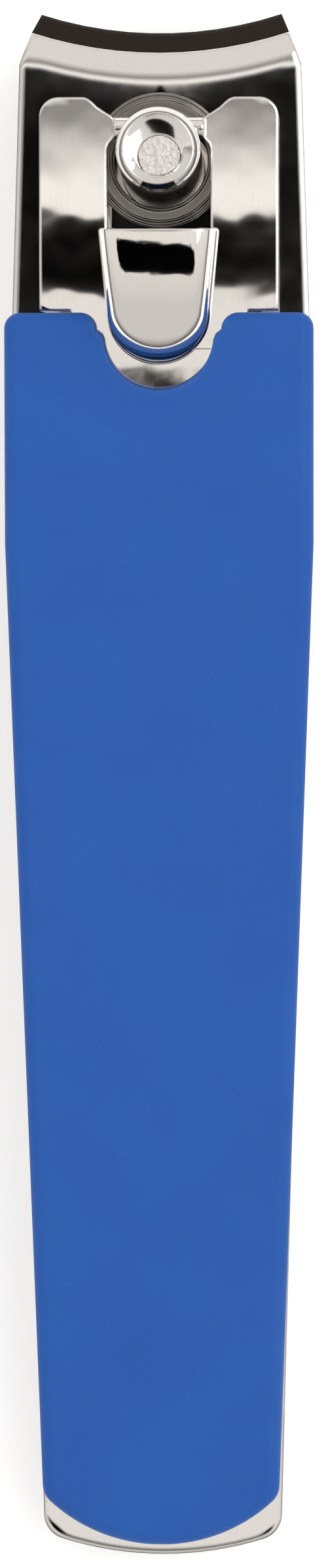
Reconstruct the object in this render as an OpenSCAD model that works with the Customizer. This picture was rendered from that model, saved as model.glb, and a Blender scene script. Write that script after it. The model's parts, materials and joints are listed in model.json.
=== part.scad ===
// Large lever-type nail clipper: two spring arms with concave jaws, a headed post, and a lever
// with a soft grip that flips over on the post. It lies on its two rivet feet with the lever
// stored. +Y points to the jaws, +Z up, and the origin is under the middle of the clipper.

/* [Overall] */
// Length from the rear end of the arms to the corners of the jaws
clipper_len = 82; // [70:1:100]
// Height of the post flange and the rivet rim that the clipper lies on
foot_t = 0.8; // [0.6:0.1:1.2]

/* [Arms] */
// Thickness of the spring steel
arm_t = 1.5; // [1.2:0.1:1.8]
// Width of an arm at its widest
arm_w = 15.9; // [14:0.1:19]
// Width of an arm near its rear end
arm_rear_w = 12.7; // [10:0.1:14]
// Distance from the jaw corners back to the widest place
arm_widest_setback = 20; // [15:1:30]
// Radius of the rear end's curve
arm_end_r = 18; // [12:1:30]
// Radius of the rear corners
arm_corner_r = 1.4; // [0.8:0.1:2.5]
// Length of the rear stretch where the arms lie on each other
seam_len = 7.5; // [7:0.5:12]
// Angle between the open arms
spread = 4; // [3.6:0.1:4.6]

/* [Jaws] */
// Width of an arm where its jaw begins
jaw_w = 14.8; // [13.5:0.1:16]
// Width across the cutting edge
edge_w = 12.7; // [11:0.1:13.5]
// Distance from the jaw corners back to where the sides start to close in
jaw_side_len = 2.8; // [2:0.1:4]
// Depth of the concave cutting edge at its middle
edge_dip = 1; // [0.6:0.1:1.4]
// Opening between the two cutting edges
mouth = 2.4; // [2:0.1:2.8]
// Outer radius of the jaw's bend
jaw_bend_r = 2.9; // [2.8:0.1:3.4]
// Slope of the ground bevel outside the edge
bevel_angle = 64; // [55:1:70]
// Slope of the jaw's inner face
inner_angle = 46; // [40:1:55]
// Width of the flat land on the cutting edge
edge_land = 0.2; // [0.1:0.05:0.4]

/* [Rear rivet] */
// Distance from the rear end of the arms to the rivet
rivet_setback = 5; // [4.5:0.1:5.5]
// Radius of the rivet's bore
rivet_bore_r = 1.1; // [0.8:0.1:1.3]
// Outer radius of the rivet's tube
rivet_tube_r = 1.6; // [1.5:0.1:1.8]
// Radius of the rivet's rolled rims
rivet_rim_r = 2.5; // [2.2:0.1:2.6]
// Thickness of the rivet's upper rim
rivet_rim_t = 0.5; // [0.4:0.05:0.6]

/* [Post] */
// Distance from the jaw corners back to the post
post_setback = 8; // [7.5:0.1:10]
// Diameter of the post and its head
post_d = 4.4; // [4:0.1:4.6]
// Radius of the post's flange under the lower arm
flange_r = 3.8; // [3.2:0.1:4.5]
// Height of the head above the notch
head_h = 1.6; // [1.2:0.1:1.8]
// Radius of the dished top at its rim
dish_r = 1.8; // [1.4:0.1:1.9]
// Radius of the flat floor of the dish
dish_floor_r = 1.25; // [1:0.05:1.3]
// Depth of the dish
dish_depth = 0.25; // [0.1:0.05:0.4]
// Chamfer round the top of the head
head_chamfer = 0.35; // [0.2:0.05:0.4]

/* [Washer] */
// Outer radius of the washer on the upper arm
washer_r = 3.55; // [3.2:0.05:3.7]
// Thickness of the washer
washer_t = 0.35; // [0.25:0.05:0.4]

/* [Lever] */
// Thickness of the lever's sheet
lever_t = 1.2; // [1:0.1:1.3]
// Width of the lever in front of the grip
lever_w = 12.45; // [11.5:0.05:13]
// Width of the lever's tail inside the grip
lever_tail_w = 9.2; // [7:0.1:10]
// Height of the hinge bar's axis above the upper arm
hinge_h = 2.65; // [2.6:0.05:2.8]
// Distance of the hinge bar in front of the post's axis
hinge_lead = 1.3; // [1.1:0.1:1.4]
// Diameter of the hinge bar
hinge_d = 1.1; // [0.9:0.1:1.2]
// Reach of the ears in front of the hinge bar
ear_reach = 1.8; // [1.4:0.1:1.8]
// Gap between the tips of the ears
ear_gap = 7; // [6.8:0.1:8]
// Gap between the ears at the hinge bar
ear_root_gap = 4.8; // [4.8:0.1:5.8]
// Radius of the ears' outer corners
ear_corner_r = 1; // [0.6:0.1:1.4]
// Width of the post's hole in the lever
lever_hole_w = 5.4; // [5.2:0.1:5.6]
// Depth of the side flanges below the sheet
lever_flange_h = 1.15; // [0.8:0.05:1.15]
// Thickness of the side flanges
lever_flange_t = 0.9; // [0.6:0.1:1.2]
// Radius of the lever's rolled upper edges
lever_edge_r = 0.6; // [0.3:0.1:0.9]

/* [Fulcrum hood] */
// Distance from the hinge bar back to the hood's open front
hood_start = 5.35; // [5.1:0.05:5.6]
// Length of the hood
hood_len = 6.8; // [6.4:0.1:7.6]
// Height of the hood above the sheet
hood_h = 4.2; // [3.8:0.1:4.3]
// Radius of the hood's top from its front to its blunt nose
hood_top_r = 9.7; // [9:0.1:12]
// Width of the hood at its front
hood_w = 6; // [5.6:0.1:6.4]
// Width of the hood at its rear
hood_rear_w = 5.2; // [4.8:0.1:5.6]
// Wall of the hood
hood_wall = 0.9; // [0.7:0.1:1.1]

/* [Grip] */
// Width of the grip at its widest
grip_w = 16.1; // [15:0.1:18]
// Width of the grip near its rear end
grip_rear_w = 12.5; // [11:0.1:14]
// Distance from the hinge bar back to the grip's front
grip_start = 9.6; // [9.6:0.1:10.4]
// Distance from the grip's front to where it starts to taper
grip_taper_start = 12; // [8:1:20]
// Distance from the grip's rear end in front of the arms' rear end
grip_rear_inset = 1; // [0.5:0.1:3]
// Radius of the grip's rear end
grip_end_r = 8.6; // [7.5:0.1:12]
// Thickness of the grip over the lever
grip_top_t = 1; // [0.8:0.1:1.4]
// Thickness of the grip under the lever
grip_under_t = 0.8; // [0.6:0.1:0.8]
// Radius of the grip's long edges
grip_edge_r = 0.8; // [0.4:0.1:1.2]
// Radius of the grip's front corners
grip_corner_r = 1.2; // [1:0.1:2]
// Radius of the shoulders beside the notch
grip_shoulder_r = 0.9; // [0.4:0.1:1.2]
// Depth of the notch from the grip's front
notch_depth = 4; // [3.8:0.1:5]

/* [Clearances] */
// Running clearance round a turning shaft
shaft_play = 0.05; // [0.03:0.01:0.08]
// Clearance round the post in the upper arm, which tilts as it closes
tilt_play = 0.3; // [0.25:0.05:0.35]
// Clearance under the rivet's upper rim, where the upper arm flexes
flex_play = 0.2; // [0.18:0.01:0.25]
// Clearance between the grip and the lever inside it
grip_play = 0.05; // [0.02:0.01:0.1]
// Gap between the hood's sides and the edge of the grip's notch
notch_play = 0.26; // [0.2:0.02:0.5]
// Gap between the lever's side flanges and the grip
flange_gap = 0.1; // [0.05:0.05:0.3]

/* [Hidden] */
$fn = 96;

// Long enough to pass right through any piece
through = 40;
arc_steps = 8;

// Places along the clipper
rear_y = -clipper_len / 2;
front_y = clipper_len / 2;
bend_y = rear_y + seam_len;
rivet_y = rear_y + rivet_setback;
post_y = front_y - post_setback;
hinge_y = post_y + hinge_lead;

// The plane where the arms' rear stretches meet, and the hinge bar's height over the upper arm
seam_z = foot_t + arm_t;
hinge_z = seam_z + (arm_t + hinge_h) / cos(spread) + (hinge_y - bend_y) * tan(spread);

// How far a jaw reaches in past the arm's inner face
edge_mid_y = front_y - edge_dip;
jaw_reach = ((edge_mid_y - bend_y) * sin(spread) - mouth) / (1 + cos(spread));
// The cutting edge is an arc through both jaw corners, and both jaw faces are cones about its axis
edge_r = (pow(edge_w / 2, 2) + pow(edge_dip, 2)) / (2 * edge_dip);
edge_axis_y = edge_mid_y + edge_r;
// The jaw is bent a little over-long, so that grinding its edge leaves the corners at front_y
grind_stock = 0.3;
jaw_taper = (jaw_w - edge_w) / 2 / jaw_side_len;
bend_z = arm_t - jaw_bend_r;
bend_axis_r = edge_r - grind_stock / 2 + sqrt(pow(jaw_bend_r, 2) - pow(bend_z + jaw_reach, 2));

// The upper arm's hole is centred on the post halfway through the stroke
close_angle = 2 * asin(mouth / 2 / (edge_mid_y - bend_y));
mid_slope = spread - close_angle / 2;
upper_hole_y = bend_y + (post_y - bend_y + arm_t * sin(mid_slope)) / cos(mid_slope);
post_r = post_d / 2;
lower_hole_r = post_r + shaft_play;
upper_hole_r = post_r + tilt_play;
// The upper arm's rivet hole clears the tube as the arm lifts round it
rivet_hole_r = rivet_tube_r + 0.5 * flex_play + shaft_play;

notch_r = hinge_d / 2 + shaft_play;
post_top_z = hinge_z + notch_r + head_h;

// The front of the flanges swings under the hinge bar inside this radius
flange_sweep_r = lever_t / 2 + lever_flange_h + 0.1;
channel_len = grip_start - flange_gap;
grip_len = (hinge_y - rear_y - grip_rear_inset) / cos(spread) - grip_start;
tail_len = grip_start + grip_len - 2.5;
hood_axis_z = lever_t / 2 + hood_h - hood_top_r;

function arc(centre, r, from, to) = [
    for (i = [0 : arc_steps])
        let (angle = from + (to - from) * i / arc_steps)
            centre + r * [cos(angle), sin(angle)]
];

// A right half outline and its mirror image, as one closed outline
function both_sides(half) = concat(
    half,
    [for (i = [len(half) - 1 : -1 : 0]) [-half[i].x, half[i].y]]
);

// Right half of a rear end: a wide arc through [0, apex_y] that a corner arc joins to the side
function rear_end(apex_y, w, end_r, corner_r) =
    let (
        corner_x = w / 2 - corner_r,
        drop = sqrt(pow(end_r - corner_r, 2) - pow(corner_x, 2)),
        angle = -atan2(drop, corner_x),
        end_y = apex_y + end_r
    )
    concat(
        arc([0, end_y], end_r, -90, angle),
        arc([corner_x, end_y - drop], corner_r, angle, 0)
    );

// ---- arms ----

module arm_plan() {
    polygon(both_sides(concat(
        rear_end(rear_y, arm_rear_w, arm_end_r, arm_corner_r),
        [
            [arm_w / 2, front_y - arm_widest_setback],
            [jaw_w / 2, front_y - jaw_side_len],
            [edge_w / 2 - grind_stock * jaw_taper, front_y + grind_stock],
        ]
    )));
}

// A cone about the cutting edge's axis, r wide at the edge and opening outward
module edge_cone(r, slope) {
    height = arm_t + jaw_reach + 1;
    translate([0, edge_axis_y, -jaw_reach])
        cylinder(h = height, r1 = r, r2 = r + height / tan(slope), $fn = 180);
}

// The flat sheet, up to where it starts to bend
module arm_sheet() {
    difference() {
        translate([-through / 2, rear_y, 0])
            cube([through, clipper_len + 1, arm_t]);
        translate([0, edge_axis_y, -1])
            cylinder(h = arm_t + 2, r = bend_axis_r, $fn = 180);
    }
}

// The bend, which follows the cutting edge round its axis
module jaw_bend() {
    translate([0, edge_axis_y, 0])
        rotate_extrude($fn = 180)
            intersection() {
                translate([bend_axis_r, bend_z])
                    circle(r = jaw_bend_r);
                translate([bend_axis_r - jaw_bend_r, -jaw_reach])
                    square([jaw_bend_r + 0.01, arm_t + jaw_reach]);
            }
}

// One arm lying on its inner face at z = 0, with its jaw reaching down
module arm(hole_y, hole_r) {
    difference() {
        intersection() {
            translate([0, 0, -jaw_reach])
                linear_extrude(arm_t + jaw_reach)
                    arm_plan();
            union() {
                arm_sheet();
                jaw_bend();
            }
        }
        edge_cone(edge_r, bevel_angle);
        difference() {
            translate([-through / 2, front_y - through, -through])
                cube([through, 2 * through, through]);
            edge_cone(edge_r + edge_land, inner_angle);
        }
        translate([0, hole_y, 0])
            cylinder(h = through, r = hole_r, center = true);
    }
}

module lower_blade() {
    color("silver")
        difference() {
            translate([0, 0, seam_z])
                mirror([0, 0, 1])
                    arm(post_y, lower_hole_r);
            translate([0, rivet_y, 0])
                cylinder(h = through, r = rivet_tube_r + shaft_play, center = true);
        }
}

// Moves a piece from the upper arm's own frame, where its inner face is level, to its place
module on_upper_arm() {
    translate([0, bend_y, seam_z])
        rotate([spread, 0, 0])
            translate([0, -bend_y, 0])
                children();
}

module upper_blade() {
    color("gainsboro")
        difference() {
            union() {
                on_upper_arm()
                    arm_front();
                translate([0, 0, seam_z])
                    arm_seam();
            }
            translate([0, rivet_y, 0])
                cylinder(h = through, r = rivet_hole_r, center = true);
        }
}

module arm_front() {
    intersection() {
        arm(upper_hole_y, upper_hole_r);
        translate([-through / 2, bend_y, -through / 2])
            cube([through, clipper_len, through]);
    }
}

module arm_seam() {
    intersection() {
        linear_extrude(arm_t)
            arm_plan();
        translate([-through / 2, rear_y, 0])
            cube([through, seam_len, arm_t]);
    }
}

// ---- rivet, post and washer ----

// A disc whose lower rim is rounded off with a small cone
module foot(r, t, edge) {
    cylinder(h = edge, r1 = r - edge, r2 = r);
    translate([0, 0, edge])
        cylinder(h = t - edge, r = r);
}

module rear_rivet() {
    rim_z = seam_z + arm_t + flex_play;
    color("silver")
        translate([0, rivet_y, 0])
            difference() {
                union() {
                    foot(rivet_rim_r, foot_t, 0.3);
                    cylinder(h = rim_z + rivet_rim_t, r = rivet_tube_r);
                    translate([0, 0, rim_z + rivet_rim_t])
                        mirror([0, 0, 1])
                            foot(rivet_rim_r, rivet_rim_t, 0.2);
                }
                cylinder(h = through, r = rivet_bore_r, center = true);
            }
}

module pivot_post() {
    color("lightgray")
        difference() {
            union() {
                translate([0, post_y, 0])
                    foot(flange_r, foot_t - shaft_play, 0.3);
                translate([0, post_y, post_top_z])
                    mirror([0, 0, 1])
                        foot(post_r, post_top_z, head_chamfer);
            }
            translate([0, post_y, post_top_z - dish_depth])
                cylinder(h = dish_depth, r1 = dish_floor_r, r2 = dish_r);
            translate([0, hinge_y, hinge_z])
                rotate([0, 90, 0])
                    cylinder(h = through, r = notch_r, center = true);
            translate([-through / 2, hinge_y, hinge_z - notch_r])
                cube([through, through, 2 * notch_r]);
        }
}

module post_washer() {
    color("dimgray")
        on_upper_arm()
            translate([0, upper_hole_y, arm_t])
                difference() {
                    cylinder(h = washer_t, r = washer_r);
                    cylinder(h = through, r = upper_hole_r, center = true);
                }
}

// ---- lever and grip ----

// Moves a piece from the lever's own frame, whose origin is the hinge bar's middle, to its place
module on_hinge() {
    translate([0, hinge_y, hinge_z])
        rotate([spread, 0, 0])
            children();
}

// The lever's outline without its holes, grown on every side by extra
module lever_plan(extra = 0) {
    corner = [lever_w / 2 + extra, ear_reach + extra];
    polygon(both_sides(concat(
        rear_end(-tail_len - extra, lever_tail_w + 2 * extra, lever_tail_w, 2),
        [[corner.x, -channel_len]],
        arc(corner - ear_corner_r * [1, 1], ear_corner_r, 0, 90),
        [[ear_gap / 2, corner.y], [ear_root_gap / 2, 0]]
    )));
}

// Cross-section of the lever's front: a sheet with rolled edges and a flange down each side
module lever_section() {
    top = lever_t / 2;
    side = lever_w / 2;
    inner = side - lever_flange_t;
    bottom = -top - lever_flange_h;
    polygon(both_sides(concat(
        [[0, -top], [inner, -top], [inner, bottom], [side, bottom]],
        arc([side, top] - lever_edge_r * [1, 1], lever_edge_r, 0, 90)
    )));
}

// The hood's outer or inner solid, drawn in by wall, above the height from_z
module hood_solid(wall, from_z) {
    rear_r = hood_rear_w / 2 - wall;
    intersection() {
        translate([0, -hood_start, from_z])
            linear_extrude(through)
                polygon(both_sides(concat(
                    arc([0, -hood_len + hood_rear_w / 2], rear_r, -90, 0),
                    [[hood_w / 2 - wall, 0]]
                )));
        translate([0, -hood_start, hood_axis_z])
            rotate([0, 90, 0])
                cylinder(h = through, r = hood_top_r - wall, center = true);
    }
}

module lever() {
    half = through / 2;
    color("whitesmoke")
        on_hinge() {
            difference() {
                union() {
                    intersection() {
                        translate([0, ear_reach, 0])
                            rotate([90, 0, 0])
                                linear_extrude(ear_reach + channel_len)
                                    lever_section();
                        translate([0, 0, -half])
                            linear_extrude(through)
                                lever_plan();
                    }
                    intersection() {
                        translate([0, 0, -lever_t / 2])
                            linear_extrude(lever_t)
                                lever_plan();
                        translate([-half, -channel_len - 2 * through, -half])
                            cube([through, 2 * through, through]);
                    }
                    hood_solid(0, -lever_t / 2);
                }
                hood_solid(hood_wall, -half);
                translate([-lever_hole_w / 2, -hood_start, -half])
                    cube([lever_hole_w, hood_start, through]);
                difference() {
                    translate([-half, 0, -through])
                        cube([through, through, through - lever_t / 2]);
                    rotate([0, 90, 0])
                        cylinder(h = through, r = flange_sweep_r, center = true);
                }
            }
            rotate([0, 90, 0])
                cylinder(h = lever_hole_w + 2 * lever_flange_t, d = hinge_d, center = true);
        }
}

// The grip's outline, drawn in on every side by inset
module grip_plan(inset) {
    widest = grip_w / 2 - inset;
    corner_r = grip_corner_r - inset;
    polygon(both_sides(concat(
        rear_end(-grip_start - grip_len + inset, grip_rear_w - 2 * inset, grip_end_r - inset, 1.2 - inset),
        [[widest, -grip_start - grip_taper_start]],
        arc([widest - corner_r, -grip_start - inset - corner_r], corner_r, 0, 90)
    )));
}

// Nested slabs, each narrower and taller than the last, step round the long edges
module grip_body() {
    top = lever_t / 2 + grip_play + grip_top_t;
    bottom = -lever_t / 2 - grip_play - grip_under_t;
    for (angle = [0 : 22.5 : 90]) {
        inset = grip_edge_r * (1 - cos(angle));
        rise = grip_edge_r * (1 - sin(angle));
        translate([0, 0, bottom + rise])
            linear_extrude(top - bottom - 2 * rise)
                grip_plan(inset);
    }
}

// The notch that lets the hood through the top of the grip, with round shoulders
module grip_notch() {
    edge = hood_w / 2 + notch_play;
    rear_r = hood_rear_w / 2 + notch_play;
    shoulder = [edge + grip_shoulder_r, -grip_start - grip_shoulder_r];
    polygon(both_sides(concat(
        arc([0, -grip_start - notch_depth + rear_r], rear_r, -90, 0),
        arc(shoulder, grip_shoulder_r, 180, 90),
        [[edge + grip_shoulder_r, -grip_start + 1]]
    )));
}

module lever_grip() {
    color("royalblue")
        on_hinge()
            difference() {
                grip_body();
                translate([0, 0, -lever_t / 2 - grip_play])
                    linear_extrude(lever_t + 2 * grip_play)
                        lever_plan(grip_play);
                translate([0, 0, lever_t / 2])
                    linear_extrude(through)
                        grip_notch();
            }
}

lower_blade();
upper_blade();
rear_rivet();
pivot_post();
post_washer();
lever();
lever_grip();
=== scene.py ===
import bpy
import bmesh
import json
import math
from mathutils import Matrix, Vector


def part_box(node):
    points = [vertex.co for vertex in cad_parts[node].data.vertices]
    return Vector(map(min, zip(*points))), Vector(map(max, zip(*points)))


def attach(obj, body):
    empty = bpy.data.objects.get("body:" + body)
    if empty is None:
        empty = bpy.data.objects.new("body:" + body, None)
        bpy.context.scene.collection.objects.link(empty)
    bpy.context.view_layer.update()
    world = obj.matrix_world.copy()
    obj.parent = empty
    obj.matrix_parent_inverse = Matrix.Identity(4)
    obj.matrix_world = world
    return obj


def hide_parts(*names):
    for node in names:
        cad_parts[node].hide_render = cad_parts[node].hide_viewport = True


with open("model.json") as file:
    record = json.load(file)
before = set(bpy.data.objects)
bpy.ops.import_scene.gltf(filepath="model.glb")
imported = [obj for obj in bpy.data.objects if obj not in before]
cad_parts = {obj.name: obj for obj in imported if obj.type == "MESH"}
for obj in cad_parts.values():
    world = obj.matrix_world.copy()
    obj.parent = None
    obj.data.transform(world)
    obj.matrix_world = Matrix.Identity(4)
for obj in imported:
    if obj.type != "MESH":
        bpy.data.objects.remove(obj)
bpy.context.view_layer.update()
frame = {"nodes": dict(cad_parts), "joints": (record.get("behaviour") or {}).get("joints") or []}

mm = 0.001
bpy.context.scene.view_settings.view_transform = "Standard"


# ---- Lower arm ----
# The lower arm and its jaw are one stamping of spring steel, 1.5 mm thick, bent up at the front,
# ground to a concave cutting edge, polished and chrome plated. The frame's own piece is right, so
# it only gets its finish and softened edges.

def node(tree, kind, at=None, **values):
    """Adds a shader node, sets its properties, and sets its sockets from `at`."""
    made = tree.nodes.new("ShaderNode" + kind)
    for name, value in values.items():
        setattr(made, name, value)
    for name, value in (at or {}).items():
        if isinstance(value, bpy.types.NodeSocket):
            tree.links.new(value, made.inputs[name])
        else:
            made.inputs[name].default_value = value
    return made


def calc(tree, operation, *values, **settings):
    """The result of a maths node."""
    return node(tree, "Math", dict(enumerate(values)), operation=operation, **settings).outputs[0]


def vector(tree, operation, *values):
    """Adds a node that works on vectors."""
    return node(tree, "VectorMath", dict(enumerate(values)), operation=operation)


def ramp(tree, value, start, stop, low=0.0, high=1.0):
    """Goes from `low` to `high` while `value` goes from `start` to `stop`, and no further."""
    ends = {"Value": value, "From Min": start, "From Max": stop, "To Min": low, "To Max": high}
    return node(tree, "MapRange", ends).outputs["Result"]


def noise(tree, place, scale, detail, roughness=0.5, distortion=0.0):
    """A cloudy mask, about 0.5 on the whole."""
    looks = {"Scale": scale, "Detail": detail, "Roughness": roughness, "Distortion": distortion}
    return node(tree, "TexNoise", {"Vector": place, **looks}).outputs["Fac"]


def blend(tree, share, first, second):
    """Mixes two colours, each a socket or four numbers, by a share from 0 to 1."""
    ends = {"Factor": share, "A": first, "B": second}
    return node(tree, "Mix", ends, data_type="RGBA").outputs["Result"]


def effect(name, inputs, outputs):
    """Starts a node group with named float inputs and outputs; returns it with its two ends."""
    group = bpy.data.node_groups.new(name, "ShaderNodeTree")
    new_socket = group.interface.new_socket
    for title, value in inputs.items():
        socket = new_socket(name=title, in_out="INPUT", socket_type="NodeSocketFloat")
        socket.default_value = value
    for title in outputs:
        new_socket(name=title, in_out="OUTPUT", socket_type="NodeSocketFloat")
    return group, group.nodes.new("NodeGroupInput"), group.nodes.new("NodeGroupOutput")


def use(tree, group, **values):
    """Places a node group in a material with its own values."""
    placed = tree.nodes.new("ShaderNodeGroup")
    placed.node_tree = group
    for name, value in values.items():
        placed.inputs[name].default_value = value
    return placed


# Convex edges, patchy along their length: wear where hands and the other parts rub the metals,
# and a painted highlight on the grip's rounded edges
edge_wear_and_sheen, start, end = effect("edge_wear_and_sheen", {"Reach": 0.3 * mm, "Amount": 1.0}, ["Mask"])
soft = node(edge_wear_and_sheen, "Bevel", {"Radius": start.outputs["Reach"]}, samples=6)
true = node(edge_wear_and_sheen, "NewGeometry")
likeness = vector(edge_wear_and_sheen, "DOT_PRODUCT", soft.outputs[0], true.outputs["Normal"])
turn = ramp(edge_wear_and_sheen, likeness.outputs["Value"], 0.985, 0.85)
place = node(edge_wear_and_sheen, "TexCoord").outputs["Object"]
patch = ramp(edge_wear_and_sheen, noise(edge_wear_and_sheen, place, 420.0, 4.0, 0.6), 0.35, 0.62, 0.25)
both = calc(edge_wear_and_sheen, "MULTIPLY", turn, patch)
scaled = calc(edge_wear_and_sheen, "MULTIPLY", both, start.outputs["Amount"], use_clamp=True)
edge_wear_and_sheen.links.new(scaled, end.inputs["Mask"])

# Fine lines left by the polishing wheel, which runs along the clipper
wheel = {"Fineness": 9000.0, "Stretch": 0.03}
wheel_lines, start, end = effect("wheel_lines", wheel, ["Height", "Tone"])
fine = start.outputs["Fineness"]
along = calc(wheel_lines, "MULTIPLY", fine, start.outputs["Stretch"])
drawn = node(wheel_lines, "CombineXYZ", {"X": fine, "Y": along, "Z": fine})
place = node(wheel_lines, "TexCoord").outputs["Object"]
drawn_out = vector(wheel_lines, "MULTIPLY", place, drawn.outputs[0])
lines = noise(wheel_lines, drawn_out.outputs[0], 1.0, 3.0, 0.65)
wheel_lines.links.new(lines, end.inputs["Height"])
wheel_lines.links.new(ramp(wheel_lines, lines, 0.3, 0.7), end.inputs["Tone"])

# The slow swell of polished and plated sheet metal
swell, start, end = effect("swell", {"Length": 5 * mm}, ["Height"])
place = node(swell, "TexCoord").outputs["Object"]
rate = calc(swell, "DIVIDE", 1.0, start.outputs["Length"])
swell.links.new(noise(swell, place, rate, 1.0, 0.35), end.inputs["Height"])

# Faint smears and specks from handling
handling, start, end = effect("handling", {"Amount": 1.0}, ["Smear", "Speck"])
place = node(handling, "TexCoord").outputs["Object"]
smear = ramp(handling, noise(handling, place, 260.0, 5.0, 0.6, 0.8), 0.45, 0.75)
specks = node(handling, "TexVoronoi", {"Vector": place, "Scale": 2600.0})
speck = ramp(handling, specks.outputs["Distance"], 0.16, 0.06)
for title, mask in (("Smear", smear), ("Speck", speck)):
    share = calc(handling, "MULTIPLY", mask, start.outputs["Amount"], use_clamp=True)
    handling.links.new(share, end.inputs[title])


def plated(name, tone, worn_tone, rough, swell_height, swell_length, line_height, roll):
    """A plated metal: warm bright tone, slow swell, wheel lines, smears, and rubbed edges."""
    made = bpy.data.materials.new(name)
    made.use_nodes = True
    tree = made.node_tree
    shader = tree.nodes["Principled BSDF"]
    shader.inputs["Metallic"].default_value = 1.0
    edge_wear_and_sheen_mask = use(tree, edge_wear_and_sheen, Reach=0.22 * mm, Amount=0.8)
    lines = use(tree, wheel_lines)
    waves = use(tree, swell, Length=swell_length)
    marks = use(tree, handling, Amount=0.8)
    low_tone = (*(c * 0.97 for c in tone), 1)
    dust = (0.30, 0.28, 0.26, 1)
    lined = blend(tree, lines.outputs["Tone"], low_tone, (*tone, 1))
    rubbed = blend(tree, edge_wear_and_sheen_mask.outputs["Mask"], lined, (*worn_tone, 1))
    speck_share = calc(tree, "MULTIPLY", marks.outputs["Speck"], 0.12)
    tree.links.new(blend(tree, speck_share, rubbed, dust), shader.inputs["Base Color"])
    smeared = calc(tree, "MULTIPLY_ADD", marks.outputs["Smear"], 0.035, rough)
    roughened = calc(tree, "MULTIPLY_ADD", edge_wear_and_sheen_mask.outputs["Mask"], 0.12, smeared)
    tree.links.new(roughened, shader.inputs["Roughness"])
    normal = node(tree, "Bevel", {"Radius": roll}, samples=8).outputs[0]
    for source, distance in ((waves, swell_height), (lines, line_height)):
        height = {"Height": source.outputs["Height"], "Distance": distance, "Strength": 1.0}
        normal = node(tree, "Bump", {**height, "Normal": normal}).outputs[0]
    tree.links.new(normal, shader.inputs["Normal"])
    return made, tree, shader


blade_chrome, tree, shader = plated(
    "blade_chrome", (0.80, 0.765, 0.73), (0.62, 0.59, 0.56), rough=0.045,
    swell_height=0.010 * mm, swell_length=7 * mm, line_height=0.00012 * mm, roll=0.45 * mm,
)
shader.inputs["Specular Tint"].default_value = (0.5, 0.49, 0.48, 1)
# The ground face behind the cutting edge, which is an arc about an axis in front of it, is left
# duller, and its near-black tone is a painted dark reflection
edge_axis = Vector((0, 60.66 * mm, 0))
place = node(tree, "TexCoord").outputs["Object"]
flat = vector(tree, "MULTIPLY", place, (1, 1, 0)).outputs[0]
reach = vector(tree, "DISTANCE", flat, edge_axis).outputs["Value"]
near_edge = ramp(tree, reach, 23.1 * mm, 22.9 * mm)
steep = node(tree, "SeparateXYZ", {0: node(tree, "NewGeometry").outputs["Normal"]})
ground_dull_and_painted_dark = calc(tree, "MULTIPLY", near_edge, ramp(tree, steep.outputs["Y"], 0.64, 0.74))
grit_place = vector(tree, "MULTIPLY", place, (9000, 2200, 2200)).outputs[0]
grit = noise(tree, grit_place, 1.0, 4.0, 0.7)
# A near-black painted reflection, streaked along the grinding
painted_dark_reflection_tone = blend(tree, grit, (0.010, 0.008, 0.007, 1), (0.034, 0.028, 0.025, 1))
plain_tone = shader.inputs["Base Color"].links[0].from_socket
tree.links.new(blend(tree, ground_dull_and_painted_dark, plain_tone, painted_dark_reflection_tone), shader.inputs["Base Color"])
plain_rough = shader.inputs["Roughness"].links[0].from_socket
dulled = calc(tree, "MULTIPLY_ADD", ground_dull_and_painted_dark, 0.30, plain_rough)
tree.links.new(dulled, shader.inputs["Roughness"])


def finish_cad(name, finish, width):
    """Gives a frame piece its finish, and softens its edges without touching its own mesh."""
    piece = frame["nodes"][name]
    for slot in piece.material_slots:
        slot.material = finish
    weld = piece.modifiers.new("joined_faces", "WELD")
    weld.merge_threshold = 0.005 * mm
    soft_edges = piece.modifiers.new("soft_edges", "BEVEL")
    soft_edges.width = width
    soft_edges.segments = 3
    soft_edges.limit_method = "ANGLE"
    soft_edges.angle_limit = math.radians(28)
    even = piece.modifiers.new("even_shading", "WEIGHTED_NORMAL")
    even.mode = "FACE_AREA_WITH_ANGLE"
    even.keep_sharp = False
    return piece


blade_edge = 0.12 * mm
lower_blade = finish_cad("lower_blade", blade_chrome, blade_edge)


# ---- Upper arm ----
# The upper arm is the same stamping turned over. It rises at 4 degrees from the seam at the rear,
# so that the jaws stand open, and its hole is a little wider for the post to tilt in.

upper_blade = finish_cad("upper_blade", blade_chrome, blade_edge)


# ---- Rear rivet ----
# A tubular rivet of bright steel holds the two arms together at the rear, and leaves an eyelet for
# a chain. Its two rims are rolled over the arms.

def alone(piece):
    """Makes one object active and the only one selected."""
    bpy.ops.object.select_all(action="DESELECT")
    piece.select_set(True)
    bpy.context.view_layer.objects.active = piece


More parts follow.
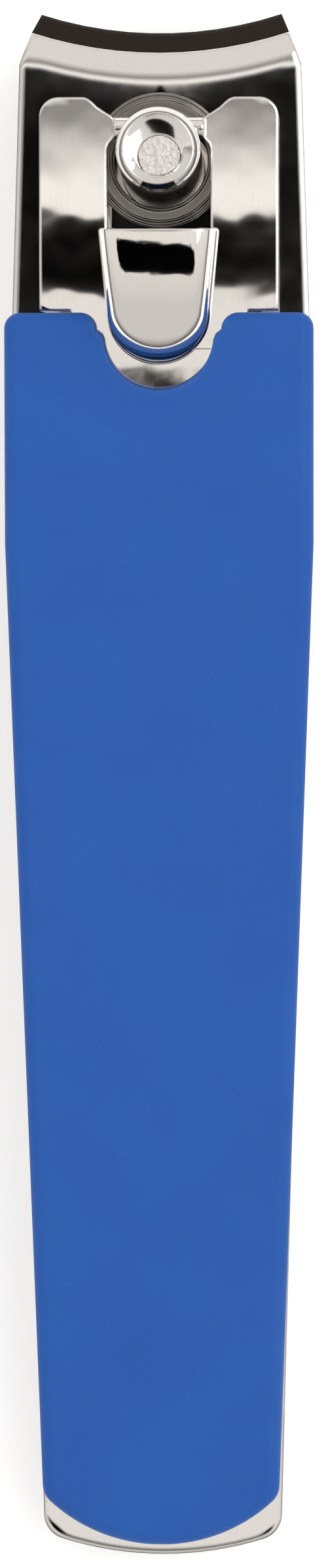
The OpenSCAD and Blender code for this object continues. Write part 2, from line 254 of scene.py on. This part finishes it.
def turned(name, profile, centre, tilt=0.0):
    """Turns a round piece from its profile, pairs of radius and height, by extruding a ring."""
    bpy.ops.object.select_all(action="DESELECT")
    first = profile[0]
    bpy.ops.mesh.primitive_circle_add(vertices=96, radius=first[0], location=(0, 0, first[1]))
    piece = bpy.context.active_object
    piece.name = name
    bpy.ops.object.transform_apply(location=True, rotation=False, scale=False)
    bpy.ops.object.mode_set(mode="EDIT")
    bpy.ops.mesh.select_mode(type="VERT")
    bpy.ops.mesh.select_all(action="SELECT")
    for before, after in zip(profile, profile[1:]):
        rise = (0, 0, after[1] - before[1])
        bpy.ops.mesh.extrude_region_move(TRANSFORM_OT_translate={"value": rise})
        share = after[0] / before[0]
        bpy.ops.transform.resize(value=(share, share, 1), center_override=(0, 0, after[1]))
    bpy.ops.mesh.select_all(action="SELECT")
    bpy.ops.mesh.remove_doubles(threshold=0.001 * mm)
    bpy.ops.mesh.normals_make_consistent(inside=False)
    bpy.ops.object.mode_set(mode="OBJECT")
    alone(piece)
    piece.rotation_euler = (tilt, 0, 0)
    piece.location = centre
    bpy.ops.object.transform_apply(location=True, rotation=True, scale=True)
    bpy.ops.object.shade_smooth_by_angle(angle=math.radians(35))
    return piece


def rounding(centre, radius, start, stop, steps=6):
    """Points of a rounded corner in a profile, from one angle to another in degrees."""
    angles = [math.radians(start + (stop - start) * i / steps) for i in range(steps + 1)]
    return [(centre[0] + radius * math.cos(a), centre[1] + radius * math.sin(a)) for a in angles]


rivet_low, rivet_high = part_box("rear_rivet")
rivet_y = (rivet_low.y + rivet_high.y) / 2
rivet_top = rivet_high.z - rivet_low.z
rivet_bore = 1.1 * mm
rivet_tube = 1.6 * mm
rivet_start = (rivet_bore, 1.2 * mm)
rivet_profile = (
    [rivet_start, (rivet_bore, rivet_top - 0.9 * mm)]
    + rounding((1.55 * mm, rivet_top - 0.45 * mm), 0.45 * mm, 180, 90)
    + rounding((2.25 * mm, rivet_top - 0.25 * mm), 0.25 * mm, 90, -90)
    + [(rivet_tube, rivet_top - 0.5 * mm), (rivet_tube, 0.8 * mm)]
    + rounding((2.2 * mm, 0.5 * mm), 0.3 * mm, 90, 0, 3)
    + rounding((2.05 * mm, 0.45 * mm), 0.45 * mm, 0, -90)
    + rounding((1.55 * mm, 0.45 * mm), 0.45 * mm, -90, -180)
    + [rivet_start]
)
rivet = turned("rivet_rolled", rivet_profile, (0, rivet_y, rivet_low.z))
rivet_steel, _, _ = plated(
    "rivet_steel", (0.72, 0.69, 0.66), (0.80, 0.77, 0.74), rough=0.14,
    swell_height=0.004 * mm, swell_length=2 * mm, line_height=0.0006 * mm, roll=0.1 * mm,
)
rivet.data.materials.append(rivet_steel)
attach(rivet, "lower_arm")
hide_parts("rear_rivet")


# ---- Post ----
# The post is a turned and plated steel pin with a flange under the lower arm. Its head has a
# smooth dish round a rough centre, and a notch across its front holds the lever's hinge bar.

post_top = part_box("pivot_post")[1].z
post_y = frame["joints"][1]["pos_m"][1]
hinge = Vector(frame["joints"][2]["pos_m"])
post_profile = (
    [(0.02 * mm, 0), (3.3 * mm, 0)]
    + rounding((3.45 * mm, 0.35 * mm), 0.35 * mm, -90, 0)
    + rounding((3.6 * mm, 0.55 * mm), 0.2 * mm, 0, 90)
    + rounding((2.35 * mm, 0.90 * mm), 0.15 * mm, -90, -180, 3)
    + [(2.2 * mm, 6 * mm)]
)
# The head's chamfer, rim and dish, as radius and depth under the top in mm
head = [(2.2, 0.42), (2.17, 0.33), (2.06, 0.21), (1.95, 0.10), (1.88, 0.04), (1.82, 0)]
head += [(1.76, 0.02), (1.60, 0.08), (1.35, 0.17), (1.20, 0.23), (1.12, 0.25), (1.04, 0.22)]
post_profile += [(radius * mm, post_top - depth * mm) for radius, depth in head]
post = turned("post_turned", post_profile, (0, post_y, 0))


def pick(piece, wanted):
    """In edit mode, selects the faces that `wanted` accepts by their middle and normal."""
    bpy.ops.mesh.select_mode(type="FACE")
    bpy.ops.mesh.select_all(action="DESELECT")
    shape = bmesh.from_edit_mesh(piece.data)
    for face in shape.faces:
        face.select_set(wanted(face.calc_center_median(), face.normal))
    bmesh.update_edit_mesh(piece.data)


def pick_loose(piece, mode, wanted):
    """In edit mode, selects the points, or the edges, whose points all pass `wanted`."""
    bpy.ops.mesh.select_mode(type=mode)
    bpy.ops.mesh.select_all(action="DESELECT")
    shape = bmesh.from_edit_mesh(piece.data)
    if mode == "VERT":
        for point in shape.verts:
            point.select_set(wanted(point.co))
    else:
        for edge in shape.edges:
            edge.select_set(all(wanted(point.co) for point in edge.verts))
    bmesh.update_edit_mesh(piece.data)


def off_axis(at):
    """How far a point lies from the post's axis."""
    return Vector((at.x, at.y - post_y)).length


# Both ends are closed, the top one by a grid whose points are thrown up and down
head_floor = post_top - 1 * mm
rough_shift = Vector((0.08 * mm, -0.40 * mm, 0))
alone(post)
bpy.ops.object.mode_set(mode="EDIT")
pick_loose(post, "EDGE", lambda at: at.z < 0.01 * mm and off_axis(at) < 0.03 * mm)
bpy.ops.mesh.edge_face_add()
pick_loose(post, "EDGE", lambda at: at.z > head_floor and off_axis(at) < 1.05 * mm)
bpy.ops.mesh.fill_grid(span=24)
bpy.ops.mesh.select_all(action="SELECT")
bpy.ops.mesh.normals_make_consistent(inside=False)
pick_loose(post, "VERT", lambda at: at.z > head_floor and off_axis(at) < 1.02 * mm)
bpy.ops.transform.vertex_random(offset=0.035 * mm, uniform=0, normal=1, seed=5)
# The rough centre lies off the post's axis, so the dish is wide in front and narrow behind
pick(post, lambda at, up: at.z > post_top - 0.4 * mm and off_axis(at) < 1.16 * mm)
bpy.ops.transform.translate(value=rough_shift)
bpy.ops.object.mode_set(mode="OBJECT")


def rod(radius, length, at=(0, 0, 0), sides=48, across=True):
    """A plain round rod, lying across the clipper or standing up."""
    bpy.ops.object.select_all(action="DESELECT")
    bpy.ops.mesh.primitive_cylinder_add(
        vertices=sides, radius=radius, depth=length, location=at,
        rotation=(0, math.radians(90) if across else 0, 0),
    )
    return bpy.context.active_object


def block(size, at):
    """A plain block of a given width, length and height."""
    bpy.ops.object.select_all(action="DESELECT")
    bpy.ops.mesh.primitive_cube_add(size=1, location=at)
    made = bpy.context.active_object
    made.scale = size
    bpy.ops.object.transform_apply(location=True, rotation=True, scale=True)
    return made


def cut(piece, cutter):
    """Cuts the cutter's shape out of the piece."""
    alone(piece)
    tool = piece.modifiers.new("cut", "BOOLEAN")
    tool.operation = "DIFFERENCE"
    tool.solver = "EXACT"
    tool.object = cutter
    bpy.ops.object.modifier_apply(modifier=tool.name)
    bpy.data.objects.remove(cutter)


def soften(piece, width, segments=3, angle=40, held=True):
    """Rounds the sharp edges of a piece, held back where its faces are too narrow for it."""
    alone(piece)
    tool = piece.modifiers.new("soft_edges", "BEVEL")
    tool.use_clamp_overlap = held
    tool.width = width
    tool.segments = segments
    tool.limit_method = "ANGLE"
    tool.angle_limit = math.radians(angle)
    bpy.ops.object.modifier_apply(modifier=tool.name)


def even_shading(piece, angle=35):
    """Clears out slivers, and shades a piece smooth with its large flat faces kept truly flat."""
    alone(piece)
    bpy.ops.object.mode_set(mode="EDIT")
    bpy.ops.mesh.select_mode(type="VERT")
    bpy.ops.mesh.select_all(action="SELECT")
    bpy.ops.mesh.remove_doubles(threshold=0.001 * mm)
    bpy.ops.mesh.dissolve_degenerate(threshold=0.001 * mm)
    bpy.ops.object.mode_set(mode="OBJECT")
    bpy.ops.object.shade_smooth_by_angle(angle=math.radians(angle))
    tool = piece.modifiers.new("even_shading", "WEIGHTED_NORMAL")
    tool.mode = "FACE_AREA_WITH_ANGLE"
    tool.keep_sharp = True
    bpy.ops.object.modifier_apply(modifier=tool.name)


# The notch is a round seat with straight sides that open to the front
seat_r = 0.6 * mm
mouth_l = 4 * mm
cut(post, rod(seat_r, 6 * mm, hinge, 64))
cut(post, block((6 * mm, mouth_l, 2 * seat_r), (0, hinge.y + mouth_l / 2, hinge.z)))
soften(post, 0.06 * mm, 2, 50)
even_shading(post)

post_steel, tree, shader = plated(
    "post_steel", (0.74, 0.705, 0.67), (0.80, 0.77, 0.73), rough=0.10,
    swell_height=0.004 * mm, swell_length=1.5 * mm, line_height=0.0006 * mm, roll=0.1 * mm,
)
# The centre of the head keeps the torn, sparkling face of the cropped bar
place = node(tree, "TexCoord").outputs["Object"]
rough_middle = Vector((0, post_y, post_top)) + rough_shift
centred = vector(tree, "SUBTRACT", place, rough_middle).outputs[0]
flat = vector(tree, "MULTIPLY", centred, (1, 1, 0)).outputs[0]
from_middle = vector(tree, "LENGTH", flat).outputs["Value"]
height_in = node(tree, "SeparateXYZ", {0: centred}).outputs["Z"]
high = ramp(tree, height_in, -0.6 * mm, -0.4 * mm)
inside = ramp(tree, from_middle, 1.14 * mm, 1.06 * mm)
rough_face = calc(tree, "MULTIPLY", high, inside)
torn = node(tree, "TexVoronoi", {"Vector": place, "Scale": 3600.0}, feature="F1")
torn_fine = noise(tree, place, 5200.0, 5.0, 0.7)
torn_both = calc(tree, "ADD", torn.outputs["Distance"], torn_fine)
torn_height = calc(tree, "MULTIPLY", torn_both, rough_face)
plain_normal = shader.inputs["Normal"].links[0].from_socket
torn_in = {"Height": torn_height, "Distance": 0.08 * mm, "Strength": 1.0, "Normal": plain_normal}
tree.links.new(node(tree, "Bump", torn_in).outputs[0], shader.inputs["Normal"])
post.data.materials.append(post_steel)
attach(post, "post")
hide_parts("pivot_post")


# ---- Washer ----
# A plain washer lies on the upper arm round the post. It is stamped steel, left dull, with a thin
# bead round its rim and another round its hole, where the tool pressed it flat. Its dark grey tone
# is a painted dark reflection.

washer_low, washer_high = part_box("post_washer")
slope = math.radians(4)
washer_t = 0.35 * mm
washer_bore = 2.5 * mm
washer_rim = 3.55 * mm
bead = washer_t - 0.09 * mm
face = washer_t - 0.10 * mm
washer_profile = (
    [(washer_bore, 0), (3.5 * mm, 0), (washer_rim, 0.05 * mm), (washer_rim, 0.24 * mm)]
    + rounding((3.46 * mm, bead), 0.09 * mm, 0, 180, 8)
    + [(3.33 * mm, face), (3.29 * mm, face)]
    + rounding((3.20 * mm, bead), 0.07 * mm, 0, 180, 6)
    + [(3.05 * mm, face), (2.68 * mm, face)]
    + rounding((2.59 * mm, bead), 0.09 * mm, 0, 180, 8)
    + [(washer_bore, 0.05 * mm), (washer_bore, 0)]
)
washer_mid = (washer_low + washer_high) / 2
washer_base = washer_mid - Matrix.Rotation(slope, 3, "X") @ Vector((0, 0, washer_t / 2))
washer = turned("washer_beaded", washer_profile, washer_base, slope)
# The dark grey base tone is a painted dark reflection
washer_steel, _, _ = plated(
    "washer_steel", (0.20, 0.185, 0.17), (0.80, 0.77, 0.74), rough=0.22,
    swell_height=0.003 * mm, swell_length=1.2 * mm, line_height=0.002 * mm, roll=0.05 * mm,
)
washer.data.materials.append(washer_steel)
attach(washer, "upper_arm")
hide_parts("post_washer")


# ---- Lever ----
# The lever is pressed from 1.2 mm sheet steel and chrome plated. Its front is folded down at both
# sides and rolled, two ears carry the hinge bar across the post's hole, and behind the hole the
# sheet is drawn up into an open hood, which presses on the arm once the lever is flipped.

def place_on_hinge(piece):
    """Moves a piece made in the lever's own frame, level with the hinge bar at 0, to its place."""
    alone(piece)
    piece.rotation_euler = (slope, 0, 0)
    piece.location = hinge
    bpy.ops.object.transform_apply(location=True, rotation=True, scale=True)


def push(y, z=0.0):
    """Extrudes what is selected along the clipper and up."""
    bpy.ops.mesh.extrude_region_move(TRANSFORM_OT_translate={"value": (0, y, z)})


def widen(share, y):
    """Widens what is selected, which lies at a distance `y` from the hinge."""
    bpy.ops.transform.resize(value=(share, 1, 1), center_override=(0, y, 0))


def slab(name, rows, low, high):
    """A slab from rows of (y, half width, rise), front row first, by extruding its rear face."""
    bpy.ops.object.select_all(action="DESELECT")
    bpy.ops.mesh.primitive_plane_add(size=2)
    piece = bpy.context.active_object
    piece.name = name
    bpy.ops.object.mode_set(mode="EDIT")
    bpy.ops.transform.rotate(
        value=math.radians(90), orient_axis="X", center_override=(0, 0, 0)
    )
    first = (rows[0][1], 1, (high - low) / 2)
    bpy.ops.transform.resize(value=first, center_override=(0, 0, 0))
    rows = [(*row, 0) if len(row) == 2 else row for row in rows]
    bpy.ops.transform.translate(value=(0, rows[0][0], (low + high) / 2 + rows[0][2]))
    for before, after in zip(rows, rows[1:]):
        push(after[0] - before[0], after[2] - before[2])
        widen(after[1] / before[1], after[0])
    bpy.ops.mesh.select_all(action="SELECT")
    bpy.ops.mesh.normals_make_consistent(inside=False)
    bpy.ops.object.mode_set(mode="OBJECT")
    return piece


half_sheet = 0.6 * mm
through = 3 * mm
lever_half = 6.225 * mm
flange_in = 5.325 * mm
flange_h = 1.15 * mm
tail_half = 4.6 * mm
ear_tip = 1.6 * mm
channel_end = -9.5 * mm
crown_top = -7.2 * mm
front_steps = 24


def crown_fall(y):
    """How far the crowned sheet lies under its highest point."""
    return 4.9 * (y - crown_top) ** 2


front_rows = []
for i in range(front_steps + 1):
    y = ear_tip - (ear_tip - channel_end) * i / front_steps
    front_rows.append((y, lever_half, -crown_fall(y)))
lever = slab("lever_chromed", front_rows, -half_sheet, half_sheet)
alone(lever)
bpy.ops.object.mode_set(mode="EDIT")
for side in (-flange_in, -tail_half, tail_half, flange_in):
    bpy.ops.mesh.select_all(action="SELECT")
    bpy.ops.mesh.bisect(plane_co=(side, 0, 0), plane_no=(1, 0, 0))
# Side flanges, folded down to one level
pick(lever, lambda at, up: up.z < -0.9 and abs(at.x) > flange_in)
push(0, -flange_h)
bpy.ops.transform.resize(value=(1, 1, 0), center_override=(0, 0, -half_sheet - flange_h))
# Tail inside the grip, with a round end
pick(lever, lambda at, up: up.y < -0.9 and abs(at.x) < tail_half and at.z > -0.7 * mm)
for i in range(5):
    y = channel_end - 1 * mm * i
    push(-1 * mm, crown_fall(y) - crown_fall(y - 1 * mm))
push(-54 * mm)
for step, share in ((1.6 * mm, 0.88), (1.2 * mm, 0.7), (0.6 * mm, 0.5)):
    push(-step)
    widen(share, 0)
bpy.ops.object.mode_set(mode="OBJECT")

# Post hole, with round front corners, and the gap that widens between the ears: rows in mm
hole_rows = [(2.4, 4.3), (1.62, 3.95), (1.52, 3.68), (1.35, 3.45), (1.1, 3.2), (0.8, 2.75)]
hole_rows += [(0.62, 2.45), (0.45, 2.3), (-0.45, 2.3), (-0.62, 2.42), (-0.85, 2.62)]
hole_rows += [(-1.1, 2.7), (-5.3, 2.7)]
hole_rows = [(y * mm, half * mm) for y, half in hole_rows]
cut(lever, slab("hole_cut", hole_rows, -through, through))
# Ear corners
ear_r = 1 * mm
for side in (-1, 1):
    ear_corner = block((2 * ear_r, 2 * ear_r, 2 * through), (side * lever_half, ear_tip, 0))
    middle = (side * (lever_half - ear_r), ear_tip - ear_r, 0)
    cut(ear_corner, rod(ear_r, 8 * mm, middle, across=False))
    cut(lever, ear_corner)
# The flanges' fronts are trimmed round, so that they swing clear of the arm
trim = block((16 * mm, 2 * mm, 2 * mm), (0, 1.001 * mm, -1.6 * mm))
cut(trim, rod(1.85 * mm, 20 * mm, sides=96))
cut(lever, trim)

# The hood: its nose is half a circle, and its sides spread towards the open front
hood_front = -5.35 * mm
hood_h = 4.8 * mm
hood_top_r = 9.7 * mm
hood_half_front = 3.0 * mm
nose_r = 2.6 * mm
nose_y = hood_front - 6.8 * mm + nose_r
side_steps = 14


def hood_top(y):
    """The height of the hood's crest over the hinge's level."""
    return hood_h - hood_top_r + math.sqrt(hood_top_r**2 - (y - hood_front) ** 2)


def hood_half(y, inset=0.0):
    """The hood's half width, or that of a line that runs inside it."""
    front, rear = hood_half_front - inset, nose_r - inset
    if y >= nose_y:
        return front + (rear - front) * (y - hood_front) / (nose_y - hood_front)
    return math.sqrt(max(rear**2 - (y - nose_y) ** 2, 0))


bpy.ops.object.select_all(action="DESELECT")
bpy.ops.mesh.primitive_circle_add(
    vertices=56, radius=nose_r, location=(0, nose_y, -0.45 * mm)
)
hood = bpy.context.active_object
hood.name = "hood"
bpy.ops.object.transform_apply(location=True, rotation=False, scale=False)
bpy.ops.object.mode_set(mode="EDIT")
pick_loose(hood, "VERT", lambda at: at.y > nose_y + 0.01 * mm)
bpy.ops.mesh.delete(type="VERT")
pick_loose(hood, "VERT", lambda at: at.y > nose_y - 0.01 * mm)
for i in range(side_steps):
    y = nose_y + (hood_front - nose_y) * i / side_steps
    ahead = nose_y + (hood_front - nose_y) * (i + 1) / side_steps
    push(ahead - y)
    widen(hood_half(ahead) / hood_half(y), ahead)
# The wall rises from the outline, turns over a shoulder and closes in over the crowned top
shoulder = 0.85 * mm
crown_r = 45 * mm
loops = rounding((shoulder, shoulder), shoulder, 180, 270, 9)
loops += [(shoulder + (nose_r - shoulder) * i / 7, 0) for i in range(1, 8)]
bpy.ops.mesh.select_all(action="SELECT")
inset_before = 0
for inset, drop in loops:
    push(0, 0.01 * mm)
    closer = (nose_r - inset) / (nose_r - inset_before)
    inset_before = inset
    shape = bmesh.from_edit_mesh(hood.data)
    for point in shape.verts:
        if point.select:
            x, y = point.co.x * closer, point.co.y
            if y < nose_y:
                y = nose_y + (y - nose_y) * closer
            point.co = (x, y, hood_top(y) - x * x / (2 * crown_r) - drop)
    bmesh.update_edit_mesh(hood.data)
bpy.ops.mesh.select_all(action="SELECT")
bpy.ops.mesh.remove_doubles(threshold=0.001 * mm)
bpy.ops.mesh.normals_make_consistent(inside=False)
bpy.ops.object.mode_set(mode="OBJECT")
# The sheet's own thickness, and a rounded lip
alone(hood)
wall = hood.modifiers.new("wall", "SOLIDIFY")
wall.thickness = 0.8 * mm
wall.offset = -1
wall.use_even_offset = True
bpy.ops.object.modifier_apply(modifier=wall.name)
soften(hood, 0.12 * mm, 2, 70)

# The opening under the hood goes right through the sheet
inner_rows = [(-5.2 * mm, 2.3 * mm), (-5.4 * mm, 2.3 * mm)]
for y in (-6.5, -8, -9.5, -10, -10.4, -10.7, -10.95, -11.2, -11.4, -11.5):
    inner_rows.append((y * mm, hood_half(y * mm, 0.6 * mm)))
cut(lever, slab("hood_cut", inner_rows, -through, through))

# The hinge bar, forged round between the ears
hinge_bar = rod(0.55 * mm, 4.7 * mm)
bpy.ops.object.transform_apply(location=True, rotation=True, scale=True)

soften(lever, 0.22 * mm, 3, 45)
alone(lever)
for part in (hood, hinge_bar):
    part.select_set(True)
bpy.ops.object.join()
place_on_hinge(lever)
even_shading(lever, 40)
lever_chrome, _, _ = plated(
    "lever_chrome", (0.83, 0.79, 0.75), (0.66, 0.63, 0.60), rough=0.04,
    swell_height=0.022 * mm, swell_length=2.4 * mm, line_height=0.00012 * mm, roll=0.2 * mm,
)
lever.data.materials.clear()
lever.data.materials.append(lever_chrome)
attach(lever, "lever_arm")
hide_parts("lever")


# ---- Grip ----
# The grip is a sleeve of blue rubber moulded over the lever's tail. Its long edges are round, and
# a round-ended notch in its top lets the hood through.

grip_front = -9.6 * mm
grip_half = 8.05 * mm
corner_r = 0.8 * mm
corner_at = (grip_front - corner_r, grip_half - corner_r)
grip_rows = rounding(corner_at, corner_r, 0, 90) + [(grip_front - 12 * mm, grip_half)]
# Its sides close in to the rear, where each turns a small corner into one wide arc
end_y = -74.48 * mm
end_half = 6.25 * mm
end_r = 8.6 * mm
end_corner_r = 1.2 * mm
end_corner_x = end_half - end_corner_r
end_drop = math.sqrt((end_r - end_corner_r) ** 2 - end_corner_x**2)
meet = 90 + math.degrees(math.atan2(end_drop, end_corner_x))
grip_rows += rounding((end_y + end_r - end_drop, end_corner_x), end_corner_r, 90, meet)
grip_rows += rounding((end_y + end_r, 0), end_r, meet, 177, 14)[1:]
grip = slab("grip_rubber", grip_rows, -1.45 * mm, 1.65 * mm)
alone(grip)
bpy.ops.object.mode_set(mode="EDIT")
bpy.ops.mesh.select_all(action="SELECT")
bpy.ops.mesh.dissolve_limited(angle_limit=math.radians(1))
bpy.ops.object.mode_set(mode="OBJECT")
soften(grip, 0.7 * mm, 6, 60, held=False)
# The notch flares at its mouth and ends in a half circle
mouth_r = 0.9 * mm
notch_r = 2.86 * mm
notch_end = -10.75 * mm
mouth_at = (grip_front - mouth_r, 3.26 * mm + mouth_r)
notch_rows = [(grip_front + 1 * mm, 4.6 * mm), (grip_front + 0.01 * mm, 4.3 * mm)]
notch_rows += rounding(mouth_at, mouth_r, -2, -90, 11) + [(notch_end, 2.95 * mm)]
notch_rows += rounding((notch_end, 0), notch_r, 95, 175, 16)
cut(grip, slab("notch_cut", notch_rows, 0.4 * mm, 4 * mm))
soften(grip, 0.3 * mm, 4, 50)
# The slot for the lever's tail: rows in mm
slot_rows = [(-8.6, 4.65), (-68.6, 4.65), (-70.2, 4.15), (-71.4, 3), (-72.1, 1.6)]
slot_rows = [(y * mm, half * mm) for y, half in slot_rows]
cut(grip, slab("tail_slot", slot_rows, -1.0 * mm, 0.65 * mm))
place_on_hinge(grip)
even_shading(grip)

blue_rubber = bpy.data.materials.new("blue_rubber")
blue_rubber.use_nodes = True
tree = blue_rubber.node_tree
shader = tree.nodes["Principled BSDF"]
shader.inputs["Specular IOR Level"].default_value = 0.25
place = node(tree, "TexCoord").outputs["Object"]
cloud = ramp(tree, noise(tree, place, 180.0, 4.0, 0.55), 0.3, 0.7)
blue = blend(tree, cloud, (0.009, 0.075, 0.333, 1), (0.012, 0.085, 0.353, 1))
# The grip's rounded edges are painted a lighter blue: a painted highlight where they catch the
# light
edge_wear_and_sheen_mask = use(tree, edge_wear_and_sheen, Reach=0.7 * mm, Amount=0.5)
painted_edge_highlight_blue = blend(tree, edge_wear_and_sheen_mask.outputs["Mask"], blue, (0.045, 0.125, 0.37, 1))
marks = use(tree, handling, Amount=0.7)
dust_share = calc(tree, "MULTIPLY", marks.outputs["Speck"], 0.10)
dusty = blend(tree, dust_share, painted_edge_highlight_blue, (0.22, 0.30, 0.52, 1))
tree.links.new(dusty, shader.inputs["Base Color"])
rough = calc(tree, "MULTIPLY_ADD", marks.outputs["Smear"], -0.10, 0.62)
tree.links.new(rough, shader.inputs["Roughness"])
grain = noise(tree, place, 6500.0, 3.0, 0.6)
moulded = node(tree, "Bump", {"Height": grain, "Distance": 0.012 * mm, "Strength": 0.8})
tree.links.new(moulded.outputs[0], shader.inputs["Normal"])
grip.data.materials.clear()
grip.data.materials.append(blue_rubber)
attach(grip, "lever_arm")
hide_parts("lever_grip")


# ---- Studio ----
# The clipper lies on a plain white table under an even white tent. The tent's opening, where the
# camera stands, is dark, and it shows in the chrome.

bpy.ops.object.select_all(action="DESELECT")
bpy.ops.mesh.primitive_plane_add(size=3, location=(0, 0, -0.02 * mm))
table = bpy.context.active_object
table.name = "table"
white = bpy.data.materials.new("white_table")
white.use_nodes = True
tree = white.node_tree
shader = tree.nodes["Principled BSDF"]
felt = noise(tree, node(tree, "TexCoord").outputs["Object"], 30.0, 2.0)
felt_tone = blend(tree, felt, (0.80, 0.80, 0.80, 1), (0.82, 0.82, 0.82, 1))
tree.links.new(felt_tone, shader.inputs["Base Color"])
shader.inputs["Roughness"].default_value = 0.9
shader.inputs["Specular IOR Level"].default_value = 0.2
shader.inputs["Emission Color"].default_value = (1, 1, 1, 1)
shader.inputs["Emission Strength"].default_value = 0.28
table.data.materials.append(white)

world = bpy.data.worlds.new("white_tent")
bpy.context.scene.world = world
world.use_nodes = True
tree = world.node_tree
tree.nodes.clear()
aim = node(tree, "TexCoord").outputs["Generated"]
part = node(tree, "SeparateXYZ", {0: aim})
# Slopes across and ahead of straight up
up = calc(tree, "MAXIMUM", part.outputs["Z"], 0.02)
across = calc(tree, "DIVIDE", part.outputs["X"], up)
ahead = calc(tree, "DIVIDE", part.outputs["Y"], up)
ripple = noise(tree, aim, 30.0, 4.0, 0.6)


def dark_patch(middle, size, edge, ragged, lean=0.0):
    """How dark the tent is round one direction; the patch is oval with a ragged edge."""
    dx = calc(tree, "SUBTRACT", across, middle[0])
    leant = calc(tree, "MULTIPLY_ADD", across, lean, ahead)
    dy = calc(tree, "SUBTRACT", leant, middle[1])
    sx = calc(tree, "DIVIDE", dx, size[0])
    sy = calc(tree, "DIVIDE", dy, size[1])
    both = node(tree, "CombineXYZ", {"X": sx, "Y": sy}).outputs[0]
    away = vector(tree, "LENGTH", both).outputs["Value"]
    rim = 1 + ragged / 2
    return ramp(tree, calc(tree, "MULTIPLY_ADD", ripple, ragged, away), rim + edge, rim - edge)


lens_dark = dark_patch((-0.040, -0.034), (0.074, 0.046), 0.04, 0.5)
body_dark = dark_patch((-0.05, -0.40), (0.30, 0.20), 0.05, 0.6, 0.35)
dark = calc(tree, "MAXIMUM", lens_dark, body_dark)
tilt_shade = ramp(tree, ahead, 0.05, 0.14, 1.1, 0.32)
far_shade = ramp(tree, ahead, 0.15, 0.35, 0.0, 0.55)
front_light = calc(tree, "ADD", tilt_shade, far_shade)
rear_light = ramp(tree, ahead, -1.2, -0.05, 0.72, 0.95)
is_front = ramp(tree, ahead, -0.02, 0.02)
light = node(tree, "Mix", {"Factor": is_front, "A": rear_light, "B": front_light})
low = ramp(tree, part.outputs["Z"], 0.28, 0.06, 0.0, 0.8)
kept = calc(tree, "SUBTRACT", 1.0, calc(tree, "MAXIMUM", dark, low))
tent = calc(tree, "MULTIPLY", light.outputs["Result"], kept)
# Only reflections see the tent's shading; everything else is lit evenly
in_mirror = node(tree, "LightPath").outputs["Is Glossy Ray"]
seen = node(tree, "Mix", {"Factor": in_mirror, "A": 1.0, "B": tent})
tent_light = {"Color": (1.0, 0.985, 0.965, 1), "Strength": seen.outputs["Result"]}
node(tree, "OutputWorld", {"Surface": node(tree, "Background", tent_light).outputs[0]})

softbox_at = Vector((0.25, 0.12, 0.5))
bpy.ops.object.select_all(action="DESELECT")
bpy.ops.object.light_add(type="AREA", location=softbox_at)
softbox = bpy.context.active_object
softbox.data.shape = "RECTANGLE"
softbox.data.size = 0.35
softbox.data.size_y = 0.35
softbox.data.energy = 1.1
softbox.rotation_euler = softbox_at.to_track_quat("Z", "Y").to_euler()


# ---- Camera ----
# It looks straight down on the clipper from a hand's length above, jaws at the top.

aim_at = Vector((0.12 * mm, 0.12 * mm, 6 * mm))
stand = Vector((8.7 * mm, 0.12 * mm, 306 * mm))
view_length = 83.14 * mm
sensor = 36
bpy.ops.object.select_all(action="DESELECT")
bpy.ops.object.camera_add(location=stand)
camera = bpy.context.active_object
camera.data.sensor_width = sensor
camera.data.lens = sensor * (stand - aim_at).length / view_length
camera.data.clip_start = 0.01
camera.data.clip_end = 10
camera.rotation_euler = (0, math.atan2(stand.x - aim_at.x, stand.z - aim_at.z), 0)
bpy.context.scene.camera = camera

bpy.context.view_layer.update()
